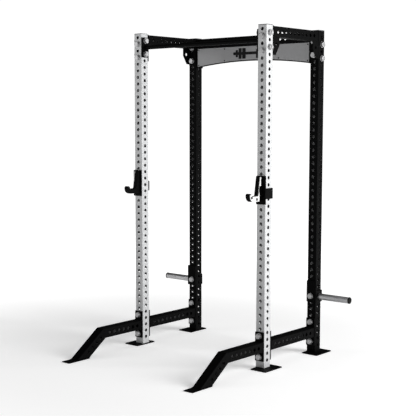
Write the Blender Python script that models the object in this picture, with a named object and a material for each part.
"""Power cage: four hole-patterned uprights bolted to base beams, top beams, a pull-up bar and a crossmember.

Metres, +Z up. The lifter stands at -Y and faces +Y. The origin is on the floor, under the cage's middle.
"""
import bpy
import bmesh
from math import cos, pi, radians, sin, sqrt, tan
from mathutils import Matrix, Vector

# ---- driving dimensions -------------------------------------------------------------------------
HEIGHT = 2.420            # floor to the top of the upright caps
SPREAD = 1.178            # left to right, between upright centres
DEPTH = 0.650             # front to back, between upright centres
FRONT_Y = 0.0375          # front uprights' centre line, set so that the legs and the plates end alike
REAR_Y = FRONT_Y + DEPTH
POST = 0.075              # square tube, outside
WALL = 0.003
TUBE_CORNER = 0.006
PITCH = 0.050             # spacing of the adjustment holes
SIDE_HOLE = 0.064         # lowest hole in an upright's side faces
FACE_HOLE = SIDE_HOLE + PITCH / 2
GAP = 0.0003              # clearance left where two pieces bear on each other

FLANGE = 0.008            # thickness of every bolted end plate
FLANGE_WIDTH = 0.0745
BASE_FLANGE_HEIGHT = 0.210
TOP_FLANGE_HEIGHT = 0.200
FOOT = (0.135, 0.200, 0.008)
FOOT_CORNER = 0.006
LEG_FOOT = (0.080, 0.210, 0.006)
CAP = 0.005
CAP_PLUG = 0.018          # depth of the part of a cap that sits inside the tube
CAP_EASE = 0.001          # how much smaller that part is than the tube's bore

BOLT_RADIUS = 0.012
BOLT_HOLE_RADIUS = 0.0132
WASHER_RADIUS = 0.022
WASHER = 0.004
HEX_FLATS = 0.036
HEAD = 0.015
NUT = 0.018

BASE_BEAM_Z = 0.1635      # centre of the lower side beams and of the legs
TOP_BEAM_Z = 2.3725       # centre of the upper side beams and of the crossmember
LEG_BEND = 0.456          # from the front upright's centre forward to the mitre
LEG_SLOPE = radians(35.4)
LEG_TOE = 0.825           # from the front upright's centre forward to the toe of the leg
GUSSET_WIDE = 0.078       # from the upright's face to the gusset's edge, just under the beam
GUSSET_NARROW = 0.034     # the same at the gusset's foot
GUSSET_KINK_Z = 2.280     # where the edge turns from upright to sloping
GUSSET_HOLE_Z = 2.290
GUSSET_HOLE_RADIUS = 0.0115
NOTCH = (0.052, 0.040)    # opening in the beam's underside over the upper bolt, across and along the beam

BAR_RADIUS = 0.016
BAR_PLATE_HEIGHT = 0.150
BAR_Z = SIDE_HOLE + 45 * PITCH
ARCH_RISE = 0.038         # height of the arch under the crossmember's plate
ARCH_FOOT_Z = 2.180
ARCH_SET_BACK = 0.007     # from the tube's front face back to the arched plate's
SHEET = 0.006
PANEL = 0.003
PANEL_HALF = 0.538
PANEL_MARGIN = 0.010      # strip of arch plate left showing under the nameplate

CUP_PIN_Z = SIDE_HOLE + 24 * PITCH
CUP_PIN_RADIUS = 0.0115
CUP_PIN_REACH = 0.030
CUP_PLATE = 0.008
CUP_PLATE_Z = (1.177, 1.377)
CUP_BAND = 0.006
CUP_BAND_Z = (1.216, 1.291)
CUP_LIP = 0.010
HOOK_INNER = -0.024       # hook, sideways from the upright's centre; outwards is positive
HOOK_OUTER = 0.0085
HOOK_LINER = 0.0058

PEG_Z = 0.434
PEG_BOLT_Z = FACE_HOLE + 7 * PITCH
PEG_RADIUS = 0.024
PEG_END = 0.905           # from the middle of the cage to the end of the peg's cap
PEG_CAP = 0.008
PEG_CAP_RADIUS = 0.026
PEG_BRACKET_Z = (0.393, 0.480)
PEG_CHEEK_TOP = 0.556     # the front cheek stands taller, to take the bolt
BITE = 0.002              # how far a welded piece runs into the one that it joins


# ---- materials ----------------------------------------------------------------------------------
def material(name, colour, roughness, metallic):
    """A Principled BSDF named for the finish."""
    finish = bpy.data.materials.new(name)
    finish.use_nodes = True
    shader = finish.node_tree.nodes["Principled BSDF"]
    shader.inputs["Base Color"].default_value = (*colour, 1.0)
    shader.inputs["Roughness"].default_value = roughness
    shader.inputs["Metallic"].default_value = metallic
    finish.diffuse_color = (*colour, 1.0)
    return finish


FINISHES = {
    "silver_powder_coat": ((0.62, 0.63, 0.64), 0.45, 0.3),
    "black_powder_coat": ((0.012, 0.012, 0.013), 0.55, 0.0),
    "zinc_plated_steel": ((0.60, 0.60, 0.60), 0.35, 1.0),
    "grey_sheet_steel": ((0.33, 0.33, 0.34), 0.5, 0.3),
    "white_plastic": ((0.85, 0.85, 0.84), 0.4, 0.0),
    "dark_plastic": ((0.045, 0.045, 0.048), 0.5, 0.0),
}


# ---- mesh helpers -------------------------------------------------------------------------------
def place(name, mesh, finish, location=(0, 0, 0), rotation=(0, 0, 0), parent=None):
    """A named object with its own copy of a finish."""
    thing = bpy.data.objects.new(name, mesh)
    bpy.context.scene.collection.objects.link(thing)
    thing.location = location
    thing.rotation_euler = rotation
    thing.parent = parent
    if finish:
        mesh.materials.clear()
        mesh.materials.append(material(name + "_" + finish, *FINISHES[finish]))
    return thing


def mesh_from(bm, name, smooth=False):
    """Turns a bmesh into a mesh with its faces pointing out."""
    bmesh.ops.recalc_face_normals(bm, faces=bm.faces[:])
    mesh = bpy.data.meshes.new(name)
    bm.to_mesh(mesh)
    bm.free()
    if smooth:
        mesh.shade_smooth()
        mesh.set_sharp_from_angle(angle=radians(32))
    return mesh


def add_box(bm, low, high):
    """A box between two corners."""
    size = [b - a for a, b in zip(low, high)]
    middle = [(a + b) / 2 for a, b in zip(low, high)]
    bmesh.ops.create_cube(bm, size=1.0, matrix=Matrix.Translation(middle) @ Matrix.Diagonal((*size, 1.0)))


def add_rod(bm, start, end, radius, sides=12):
    """A capped cylinder between two points."""
    start, end = Vector(start), Vector(end)
    axis = end - start
    turn = axis.to_track_quat("Z", "Y").to_matrix().to_4x4()
    matrix = Matrix.Translation((start + end) / 2) @ turn
    bmesh.ops.create_cone(bm, cap_ends=True, segments=sides, radius1=radius, radius2=radius,
                          depth=axis.length, matrix=matrix)


def rounded_square(width, depth, corner, steps=2):
    """Points of a rectangle with round corners, centred, anticlockwise."""
    points = []
    for quarter, (sx, sy) in enumerate(((1, 1), (-1, 1), (-1, -1), (1, -1))):
        for step in range(steps + 1):
            angle = (quarter + step / steps) * pi / 2
            x = sx * (width / 2 - corner) + corner * cos(angle)
            y = sy * (depth / 2 - corner) + corner * sin(angle)
            points.append((x, y))
    return points


def circle(radius, sides):
    """Points of a circle, the first one half a side from +X."""
    return [(radius * cos((k + 0.5) * 2 * pi / sides), radius * sin((k + 0.5) * 2 * pi / sides))
            for k in range(sides)]


def skin(bm, rings, capped=True):
    """Bridges rings of points in order; returns the first and last ring's vertices."""
    loops = [[bm.verts.new(point) for point in ring] for ring in rings]
    for near, far in zip(loops, loops[1:]):
        for k in range(len(near)):
            n = (k + 1) % len(near)
            bm.faces.new((near[k], near[n], far[n], far[k]))
    if capped:
        bm.faces.new(loops[0])
        bm.faces.new(loops[-1])
    return loops[0], loops[-1]


def add_hollow(bm, outer_rings, inner_rings):
    """A tube open at both ends: two skins joined by a band at each end."""
    outer_ends = skin(bm, outer_rings, capped=False)
    inner_ends = skin(bm, inner_rings, capped=False)
    for outside, inside in zip(outer_ends, inner_ends):
        for k in range(len(outside)):
            n = (k + 1) % len(outside)
            bm.faces.new((outside[k], outside[n], inside[n], inside[k]))


def square_tube_rings(stations):
    """Rings of a square tube through stations (centre, across, up), the same for its inner skin."""
    outline = rounded_square(POST, POST, TUBE_CORNER)
    bore = rounded_square(POST - 2 * WALL, POST - 2 * WALL, TUBE_CORNER - WALL)
    rings = []
    for points in (outline, bore):
        rings.append([[Vector(centre) + u * Vector(across) + v * Vector(up) for u, v in points]
                      for centre, across, up in stations])
    return rings


def helper(name, bm):
    """A guide object that shapes another one and isn't built itself."""
    guide = place(name, mesh_from(bm, name), None)
    guide.hide_render = True
    guide.display_type = "WIRE"
    return guide


def boolean(thing, guide, operation):
    """Adds an exact Boolean; the guide follows the thing's own placement."""
    guide.parent = thing
    step = thing.modifiers.new(guide.name, "BOOLEAN")
    step.operation = operation
    step.solver = "EXACT"
    step.object = guide


def drill(thing, holes, sides=12):
    """Cuts round holes, each given as (start, end, radius)."""
    bm = bmesh.new()
    for start, end, radius in holes:
        add_rod(bm, start, end, radius, sides)
    boolean(thing, helper(thing.name + "_holes", bm), "DIFFERENCE")


def weld(thing, label, bm):
    """Joins a second shape to the thing."""
    boolean(thing, helper(thing.name + "_" + label, bm), "UNION")


# ---- uprights -----------------------------------------------------------------------------------
FRONT_Y_BOLTS = (FACE_HOLE, FACE_HOLE + 3 * PITCH, FACE_HOLE + 43 * PITCH, FACE_HOLE + 45 * PITCH)
REAR_Y_BOLTS = FRONT_Y_BOLTS + (PEG_BOLT_Z,)
FRONT_X_BOLTS = (SIDE_HOLE + 44 * PITCH, SIDE_HOLE + 46 * PITCH)
REAR_X_BOLTS = (SIDE_HOLE + 43 * PITCH, SIDE_HOLE + 45 * PITCH)


def upright(name, x, y, finish, y_bolts, x_holes):
    """A square tube standing on its foot plate, drilled where something is bolted or pinned to it."""
    low = FOOT[2] + GAP
    high = HEIGHT - CAP - GAP
    stations = [((0, 0, z), (1, 0, 0), (0, 1, 0)) for z in (low, high)]
    bm = bmesh.new()
    add_hollow(bm, *square_tube_rings(stations))
    post = place(name, mesh_from(bm, name, smooth=True), finish, (x, y, 0))
    holes = [((0, -POST, z), (0, POST, z), BOLT_HOLE_RADIUS) for z in y_bolts]
    holes += [((-POST, 0, z), (POST, 0, z), BOLT_HOLE_RADIUS) for z in x_holes]
    drill(post, holes)


def foot_plate(name, x, y, side):
    """Flat plate under an upright: flush with its inner face, proud of the other three."""
    width, depth, thickness = FOOT
    centre = x + side * (width / 2 - POST / 2)
    outline = rounded_square(width, depth, FOOT_CORNER)
    bm = bmesh.new()
    skin(bm, [[(u, v, z) for u, v in outline] for z in (0, thickness)])
    place(name, mesh_from(bm, name), "black_powder_coat", (centre, y, 0))


def upright_cap(name, x, y):
    """Push-in plastic cap: a flat top with a plug that fills the tube's mouth."""
    plug = POST - 2 * WALL - CAP_EASE
    bore_corner = TUBE_CORNER - WALL
    rings = [[(u, v, z) for u, v in rounded_square(size, size, corner)]
             for z, size, corner in ((-CAP - CAP_PLUG, plug, bore_corner), (-CAP, plug, bore_corner),
                                     (-CAP, POST, TUBE_CORNER), (0, POST, TUBE_CORNER))]
    bm = bmesh.new()
    skin(bm, rings)
    place(name, mesh_from(bm, name, smooth=True), "dark_plastic", (x, y, HEIGHT))


# ---- bolts --------------------------------------------------------------------------------------
def bolt_mesh(name, grip):
    """Hex bolt with its washer and nut on one shank; it grips from z = 0 to z = grip."""
    sides = 12

    def ring(z, radius):
        return [(u, v, z) for u, v in circle(radius, sides)]

    def hexagon(z):
        half = HEX_FLATS / 2
        corner = half / cos(pi / 6)
        points = []
        for k in range(sides):
            angle = (k + 0.5) * 2 * pi / sides
            on_corner = k % 2 == 0
            radius = corner if on_corner else half
            points.append((radius * cos(angle), radius * sin(angle), z))
        return points

    head_face = -GAP - WASHER
    nut_face = grip + GAP
    rings = [hexagon(head_face - HEAD), hexagon(head_face),
             ring(head_face, WASHER_RADIUS), ring(-GAP, WASHER_RADIUS),
             ring(-GAP, BOLT_RADIUS), ring(nut_face, BOLT_RADIUS),
             hexagon(nut_face), hexagon(nut_face + NUT)]
    bm = bmesh.new()
    skin(bm, rings)
    return mesh_from(bm, name, smooth=True)


def bolt(name, start, direction, grip):
    """A bolt whose head bears at start and whose shank runs along direction."""
    turn = Vector(direction).to_track_quat("Z", "Y").to_euler()
    place(name, bolt_mesh(name, grip), "zinc_plated_steel", start, turn)


# ---- beams --------------------------------------------------------------------------------------
def end_plate(bm, across, centre_z, height, low, high):
    """A bolted end plate standing square to Y between low and high."""
    add_box(bm, (across - FLANGE_WIDTH / 2, low, centre_z - height / 2),
            (across + FLANGE_WIDTH / 2, high, centre_z + height / 2))


def plate_holes(heights, low, high):
    """Bolt holes along Y through an end plate."""
    return [((0, low - FLANGE, z), (0, high + FLANGE, z), BOLT_HOLE_RADIUS) for z in heights]


def side_beam(name, x, centre_z):
    """Square tube along Y, from one end plate to the other; returns it and its end plates' places."""
    start = FRONT_Y + POST / 2 + GAP
    end = REAR_Y - POST / 2 - GAP
    inset = FLANGE / 2
    stations = [((0, y, centre_z), (1, 0, 0), (0, 0, 1)) for y in (start + inset, end - inset)]
    bm = bmesh.new()
    add_hollow(bm, *square_tube_rings(stations))
    beam = place(name, mesh_from(bm, name, smooth=True), "black_powder_coat", (x, 0, 0))
    plates = ((start, start + FLANGE), (end - FLANGE, end))
    return beam, plates


def beam_vents(centre_z):
    """Adjustment holes at both ends of a side beam."""
    first = FRONT_Y + 2 * PITCH
    last = REAR_Y - 2 * PITCH
    return [((-POST, y, centre_z), (POST, y, centre_z), BOLT_HOLE_RADIUS) for y in (first, last)]


def base_beam(name, x):
    """Lower side beam with a tall end plate at each end."""
    beam, plates = side_beam(name, x, BASE_BEAM_Z)
    for label, (low, high) in zip(("front_plate", "rear_plate"), plates):
        bm = bmesh.new()
        end_plate(bm, 0, BASE_BEAM_Z, BASE_FLANGE_HEIGHT, low, high)
        weld(beam, label, bm)
    holes = beam_vents(BASE_BEAM_Z)
    for low, high in plates:
        holes += plate_holes(FRONT_Y_BOLTS[:2], low, high)
    drill(beam, holes)


def gusset(bm, side, face, inward):
    """Tapering stay below the beam, on its outer side, from an end plate's face inwards."""
    top = TOP_BEAM_Z - POST / 2 + BITE
    foot = TOP_BEAM_Z + POST / 2 - TOP_FLANGE_HEIGHT + BITE
    wide = GUSSET_WIDE - FLANGE
    narrow = GUSSET_NARROW - FLANGE
    outline = [(-FLANGE / 2, top), (wide, top), (wide, GUSSET_KINK_Z), (narrow, foot), (-FLANGE / 2, foot)]
    outer = side * (FLANGE_WIDTH / 2 - GAP)
    inner = outer - side * SHEET
    rings = [[(x, face + inward * run, z) for run, z in outline] for x in (inner, outer)]
    skin(bm, rings)


def top_beam(name, x, side):
    """Upper side beam with end plates, gussets below it and a notch for each upper bolt."""
    beam, plates = side_beam(name, x, TOP_BEAM_Z)
    plate_z = TOP_BEAM_Z + POST / 2 - TOP_FLANGE_HEIGHT / 2 + BITE / 2
    faces = ((plates[0][1], 1), (plates[1][0], -1))
    for label, (low, high), (face, inward) in zip(("front", "rear"), plates, faces):
        bm = bmesh.new()
        end_plate(bm, 0, plate_z, TOP_FLANGE_HEIGHT, low, high)
        weld(beam, label + "_plate", bm)
        bm = bmesh.new()
        gusset(bm, side, face, inward)
        weld(beam, label + "_gusset", bm)
    across, along = NOTCH
    underside = TOP_BEAM_Z - POST / 2
    bm = bmesh.new()
    for face, inward in faces:
        low, high = sorted((face, face + inward * along))
        add_box(bm, (-across / 2, low, underside - WALL), (across / 2, high, underside + 2 * WALL))
    boolean(beam, helper(name + "_notches", bm), "DIFFERENCE")
    holes = beam_vents(TOP_BEAM_Z)
    for low, high in plates:
        holes += plate_holes(FRONT_Y_BOLTS[2:], low, high)
    for face, inward in faces:
        y = face + inward * (GUSSET_WIDE / 2 - FLANGE / 4)
        start, end = ((side * x, y, GUSSET_HOLE_Z) for x in (POST / 4, POST))
        holes.append((start, end, GUSSET_HOLE_RADIUS))
    drill(beam, holes)


def front_leg(name, x):
    """Leg bolted to the front of an upright: a level tube, a mitre, a sloping tube and a toe plate."""
    root = FRONT_Y - POST / 2 - GAP
    bend = FRONT_Y - LEG_BEND
    floor = LEG_FOOT[2] / 2
    run = (BASE_BEAM_Z - floor) / tan(LEG_SLOPE)
    mitre = (0, -tan(LEG_SLOPE / 2), 1)
    floor_cut = (0, -1 / sin(LEG_SLOPE), 0)
    stations = [((0, root - FLANGE / 2, BASE_BEAM_Z), (1, 0, 0), (0, 0, 1)),
                ((0, bend, BASE_BEAM_Z), (1, 0, 0), mitre),
                ((0, bend - run, floor), (1, 0, 0), floor_cut)]
    bm = bmesh.new()
    add_hollow(bm, *square_tube_rings(stations))
    leg = place(name, mesh_from(bm, name, smooth=True), "black_powder_coat", (x, 0, 0))
    bm = bmesh.new()
    end_plate(bm, 0, BASE_BEAM_Z, BASE_FLANGE_HEIGHT, root - FLANGE, root)
    weld(leg, "root_plate", bm)
    toe = FRONT_Y - LEG_TOE
    bm = bmesh.new()
    add_box(bm, (-LEG_FOOT[0] / 2, toe, 0), (LEG_FOOT[0] / 2, toe + LEG_FOOT[1], LEG_FOOT[2]))
    weld(leg, "toe_plate", bm)
    holes = plate_holes(FRONT_Y_BOLTS[:2], root - FLANGE, root)
    for y in (FRONT_Y - 2 * PITCH, bend + PITCH):
        holes.append(((-POST, y, BASE_BEAM_Z), (POST, y, BASE_BEAM_Z), BOLT_HOLE_RADIUS))
    drill(leg, holes)


# ---- pull-up bar and crossmember ------------------------------------------------------------------
def pull_up_bar(name):
    """Round tube between two end plates that bolt to the front uprights' inner faces."""
    reach = SPREAD / 2 - POST / 2 - GAP
    bm = bmesh.new()
    rings = [[[(x, v, u) for u, v in circle(radius, 16)] for x in (-reach + BITE, reach - BITE)]
             for radius in (BAR_RADIUS, BAR_RADIUS - WALL)]
    add_hollow(bm, *rings)
    bar = place(name, mesh_from(bm, name, smooth=True), "black_powder_coat", (0, FRONT_Y, BAR_Z))
    for label, side in (("left_plate", -1), ("right_plate", 1)):
        bm = bmesh.new()
        low, high = sorted((side * reach, side * (reach - FLANGE)))
        add_box(bm, (low, -POST / 2, -BAR_PLATE_HEIGHT / 2), (high, POST / 2, BAR_PLATE_HEIGHT / 2))
        weld(bar, label, bm)
    holes = []
    for side in (-1, 1):
        low = side * (reach - 2 * FLANGE)
        high = side * (reach + FLANGE)
        holes += [((low, 0, z - BAR_Z), (high, 0, z - BAR_Z), BOLT_HOLE_RADIUS) for z in FRONT_X_BOLTS]
        holes.append(((low, 0, 0), (high, 0, 0), BAR_RADIUS - WALL - BITE / 2))
    drill(bar, holes)


def arch_z(x, half, foot, rise):
    """Height of a shallow arc through both feet and the crown."""
    radius = (half * half + rise * rise) / (2 * rise)
    return foot + rise - radius + sqrt(radius * radius - x * x)


def arched_sheet(half, foot, rise, top, low_y, high_y, steps=12):
    """A sheet along X with a straight top edge and an arched lower edge."""
    xs = [half * (2 * k / steps - 1) for k in range(steps + 1)]
    outline = [(x, arch_z(x, half, foot, rise)) for x in xs] + [(half, top), (-half, top)]
    bm = bmesh.new()
    skin(bm, [[(x, y, z) for x, z in outline] for y in (low_y, high_y)])
    return bm


def rear_crossmember(name):
    """Square tube along X with an arched plate hanging from it and a bolted plate at each end."""
    reach = SPREAD / 2 - POST / 2 - GAP
    ends = (-reach + FLANGE / 2, reach - FLANGE / 2)
    stations = [((x, 0, TOP_BEAM_Z), (0, 1, 0), (0, 0, 1)) for x in ends]
    bm = bmesh.new()
    add_hollow(bm, *square_tube_rings(stations))
    member = place(name, mesh_from(bm, name, smooth=True), "black_powder_coat", (0, REAR_Y, 0))
    top = TOP_BEAM_Z - POST / 2 + WALL / 2
    front = -POST / 2 + ARCH_SET_BACK
    weld(member, "arch", arched_sheet(reach - FLANGE / 2, ARCH_FOOT_Z + BITE / 2, ARCH_RISE, top,
                                      front, front + SHEET))
    for label, side in (("left_plate", -1), ("right_plate", 1)):
        bm = bmesh.new()
        low, high = sorted((side * reach, side * (reach - FLANGE)))
        add_box(bm, (low, -FLANGE_WIDTH / 2, ARCH_FOOT_Z),
                (high, FLANGE_WIDTH / 2, TOP_BEAM_Z + POST / 2 + BITE / 4))
        weld(member, label, bm)
    holes = []
    for side in (-1, 1):
        low = side * (reach - 2 * FLANGE)
        high = side * (reach + FLANGE)
        holes += [((low, 0, z), (high, 0, z), BOLT_HOLE_RADIUS) for z in REAR_X_BOLTS]
    for x in (-10.5 * PITCH, 10.5 * PITCH):
        holes.append(((x, -POST, TOP_BEAM_Z), (x, POST, TOP_BEAM_Z), BOLT_HOLE_RADIUS))
    drill(member, holes)


def nameplate(name):
    """Plain grey sheet screwed to the front of the arched plate."""
    top = TOP_BEAM_Z - POST / 2 - BITE
    back = REAR_Y - POST / 2 + ARCH_SET_BACK - GAP
    bm = arched_sheet(PANEL_HALF, ARCH_FOOT_Z + PANEL_MARGIN, ARCH_RISE, top, back - PANEL, back)
    place(name, mesh_from(bm, name), "grey_sheet_steel")


# ---- weight storage pegs ----------------------------------------------------------------------------
def peg_bracket(name, x, side):
    """Plate folded round three faces of a rear upright, with a taller front cheek."""
    inner = -side * (POST / 2)
    outer = side * (POST / 2 + GAP + FLANGE)
    web = side * (POST / 2 + GAP)
    front = -POST / 2 - GAP
    low_z, high_z = PEG_BRACKET_Z
    bm = bmesh.new()
    xs = sorted((inner, outer))
    add_box(bm, (xs[0], front - FLANGE, low_z), (xs[1], front, PEG_CHEEK_TOP))
    bracket = place(name, mesh_from(bm, name), "black_powder_coat", (x, REAR_Y, 0))
    bm = bmesh.new()
    add_box(bm, (xs[0], -front, low_z), (xs[1], -front + FLANGE, high_z))
    weld(bracket, "rear_cheek", bm)
    bm = bmesh.new()
    webs = sorted((web, outer))
    add_box(bm, (webs[0], front - FLANGE / 2, low_z), (webs[1], -front + FLANGE / 2, high_z))
    weld(bracket, "web", bm)
    drill(bracket, [((0, -POST, PEG_BOLT_Z), (0, POST, PEG_BOLT_Z), BOLT_HOLE_RADIUS)])


def peg(name, side):
    """Round tube that the plates slide on to; its axis lies along X."""
    start = SPREAD / 2 + POST / 2 + 2 * GAP + FLANGE
    end = PEG_END - PEG_CAP - GAP
    bm = bmesh.new()
    rings = [[[(side * (x - start), v, u) for u, v in circle(radius, 16)] for x in (start, end)]
             for radius in (PEG_RADIUS, PEG_RADIUS - WALL)]
    add_hollow(bm, *rings)
    place(name, mesh_from(bm, name, smooth=True), "zinc_plated_steel", (side * start, REAR_Y, PEG_Z))


def peg_cap(name, side):
    """Plastic cap pushed into the open end of a peg."""
    plug = PEG_RADIUS - WALL - CAP_EASE / 2
    bevel = PEG_CAP_RADIUS - PEG_RADIUS
    rings = [[(side * x, v, u) for u, v in circle(radius, 16)]
             for x, radius in ((-PEG_CAP - CAP_PLUG, plug), (-PEG_CAP, plug), (-PEG_CAP, PEG_CAP_RADIUS),
                               (-bevel, PEG_CAP_RADIUS), (0, PEG_CAP_RADIUS - bevel))]
    bm = bmesh.new()
    skin(bm, rings)
    place(name, mesh_from(bm, name, smooth=True), "dark_plastic", (side * PEG_END, REAR_Y, PEG_Z))


# ---- J-cups -----------------------------------------------------------------------------------------
SHELF_Z = 1.239
HOOK_TOP = 1.372
HOOK_DEPTH = 0.038        # from the shelf down to the hook's underside
HOOK_ROOT = -POST / 2 - GAP - CUP_PLATE
LIP = (-0.1715, SHELF_Z + 0.0055, 0.015)     # y, z and radius of the lip's round top
LIP_ROOT = -0.1505        # where the shelf ends and the lip rises from it
HEEL = (-0.143, SHELF_Z + 0.0055, 0.0435)    # the same for the round corner under the lip
STAY_TOP = -0.067         # front edge of the stay's top, sideways view
STAY_FOOT = -0.0885       # and of its foot, where it meets the shelf's fillet
FILLET = 0.005
LINER_INSET = 0.001       # the liner's edge stands back this far from the hook's
LINER_SET_BACK = 0.0145   # the liner stops this far short of the plate below its step
LINER_STEP_Z = 1.306


def arc(centre, inset, first, last, steps):
    """Points (y, z) along an arc of (y, z, radius), between two angles in degrees."""
    y, z, radius = centre
    angles = [radians(first + (last - first) * k / steps) for k in range(steps + 1)]
    return [(y + (radius - inset) * cos(a), z + (radius - inset) * sin(a)) for a in angles]


def hook_outline(inset, rear):
    """Side view of the hook, (y, z): a stay that deepens downwards, the shelf, a rounded lip and heel."""
    shelf = SHELF_Z - inset
    outline = [(STAY_TOP + inset, HOOK_TOP - inset), (STAY_FOOT + inset, shelf + FILLET),
               (STAY_FOOT - FILLET + inset, shelf), (LIP_ROOT, shelf)]
    outline += arc(LIP, inset, -15, 165, 7)
    outline += arc(HEEL, inset, 180, 270, 5)
    return outline + rear


def cup(label, side):
    """One J-cup: bracket, plastic side liner and pin, all hung from an empty on its slide axis."""
    root = bpy.data.objects.new(label + "_cup_slide", None)
    bpy.context.scene.collection.objects.link(root)
    root.location = (side * SPREAD / 2, FRONT_Y, CUP_PIN_Z)
    face = -POST / 2 - GAP
    band = POST / 2 + GAP

    def spread(a, b):
        return sorted((side * a, side * b))

    name = label + "_cup_bracket"
    bm = bmesh.new()
    xs = spread(-POST / 2, band + CUP_BAND)
    low, high = (z - CUP_PIN_Z for z in CUP_PLATE_Z)
    add_box(bm, (xs[0], face - CUP_PLATE, low), (xs[1], face, high))
    bracket = place(name, mesh_from(bm, name), "black_powder_coat", parent=root)
    low, high = (z - CUP_PIN_Z for z in CUP_BAND_Z)
    bm = bmesh.new()
    webs = spread(band, band + CUP_BAND)
    add_box(bm, (webs[0], face - CUP_PLATE / 2, low), (webs[1], -face + CUP_LIP / 2, high))
    weld(bracket, "band", bm)
    bm = bmesh.new()
    add_box(bm, (xs[0], -face, low), (xs[1], -face + CUP_LIP, high))
    weld(bracket, "rear_lip", bm)
    bm = bmesh.new()
    hook = spread(HOOK_INNER, HOOK_OUTER)
    under = SHELF_Z - HOOK_DEPTH
    rear = [(HOOK_ROOT + BITE, under), (HOOK_ROOT + BITE, HOOK_TOP)]
    skin(bm, [[(x, y, z - CUP_PIN_Z) for y, z in hook_outline(0, rear)] for x in hook])
    weld(bracket, "hook", bm)

    name = label + "_cup_liner"
    bm = bmesh.new()
    liner = spread(HOOK_OUTER + GAP, HOOK_OUTER + GAP + HOOK_LINER)
    short = HOOK_ROOT - LINER_SET_BACK
    close = HOOK_ROOT - LINER_INSET - BITE
    rear = [(short, under + LINER_INSET), (short, LINER_STEP_Z), (close, LINER_STEP_Z + BITE),
            (close, HOOK_TOP - LINER_INSET)]
    skin(bm, [[(x, y, z - CUP_PIN_Z) for y, z in hook_outline(LINER_INSET, rear)] for x in liner])
    place(name, mesh_from(bm, name), "white_plastic", parent=root)

    name = label + "_cup_pin"
    bm = bmesh.new()
    add_rod(bm, (side * (band - CUP_PIN_REACH), 0, 0), (side * band, 0, 0), CUP_PIN_RADIUS)
    place(name, mesh_from(bm, name, smooth=True), "zinc_plated_steel", (-side * GAP, 0, 0), parent=root)


# ---- assembly -----------------------------------------------------------------------------------------
def bolts():
    """Every bolt, named for the joint that it closes."""
    side_name = {-1: "left", 1: "right"}
    through = POST + FLANGE + GAP
    for side, label in side_name.items():
        x = side * SPREAD / 2
        front = FRONT_Y - POST / 2
        rear = REAR_Y - POST / 2
        for level, z in zip(("lower", "upper"), FRONT_Y_BOLTS[:2]):
            start = (x, front - GAP - FLANGE, z)
            bolt(f"{label}_leg_bolt_{level}", start, (0, 1, 0), through + FLANGE + GAP)
            bolt(f"{label}_base_bolt_{level}", (x, rear - GAP - FLANGE, z), (0, 1, 0), through)
        for level, z in zip(("lower", "upper"), FRONT_Y_BOLTS[2:]):
            bolt(f"{label}_top_front_bolt_{level}", (x, front, z), (0, 1, 0), through)
            bolt(f"{label}_top_rear_bolt_{level}", (x, rear - GAP - FLANGE, z), (0, 1, 0), through)
        inner = side * (SPREAD / 2 - POST / 2 - GAP - FLANGE)
        outer = side * (SPREAD / 2 + POST / 2)
        for level, z in zip(("lower", "upper"), FRONT_X_BOLTS):
            bolt(f"{label}_bar_bolt_{level}", (inner, FRONT_Y, z), (side, 0, 0), through)
        for level, z in zip(("lower", "upper"), REAR_X_BOLTS):
            bolt(f"{label}_crossmember_bolt_{level}", (outer, REAR_Y, z), (-side, 0, 0), through)
        start = rear - GAP - FLANGE
        bolt(f"{label}_peg_bolt", (x, start, PEG_BOLT_Z), (0, 1, 0), POST + 2 * (FLANGE + GAP))


def build():
    """The whole cage."""
    for thing in list(bpy.data.objects):
        bpy.data.objects.remove(thing, do_unlink=True)
    corners = (("front", FRONT_Y, "silver_powder_coat", FRONT_Y_BOLTS, FRONT_X_BOLTS + (CUP_PIN_Z,)),
               ("rear", REAR_Y, "black_powder_coat", REAR_Y_BOLTS, REAR_X_BOLTS))
    for side, label in ((-1, "left"), (1, "right")):
        x = side * SPREAD / 2
        for end, y, finish, y_bolts, x_holes in corners:
            upright(f"{end}_{label}_upright", x, y, finish, y_bolts, x_holes)
            foot_plate(f"{end}_{label}_foot_plate", x, y, side)
            upright_cap(f"{end}_{label}_cap", x, y)
        base_beam(f"{label}_base_beam", x)
        top_beam(f"{label}_top_beam", x, side)
        front_leg(f"{label}_front_leg", x)
        peg_bracket(f"{label}_peg_bracket", x, side)
        peg(f"{label}_peg", side)
        peg_cap(f"{label}_peg_cap", side)
        cup(label, side)
    pull_up_bar("pull_up_bar")
    rear_crossmember("rear_crossmember")
    nameplate("nameplate")
    bolts()


build()
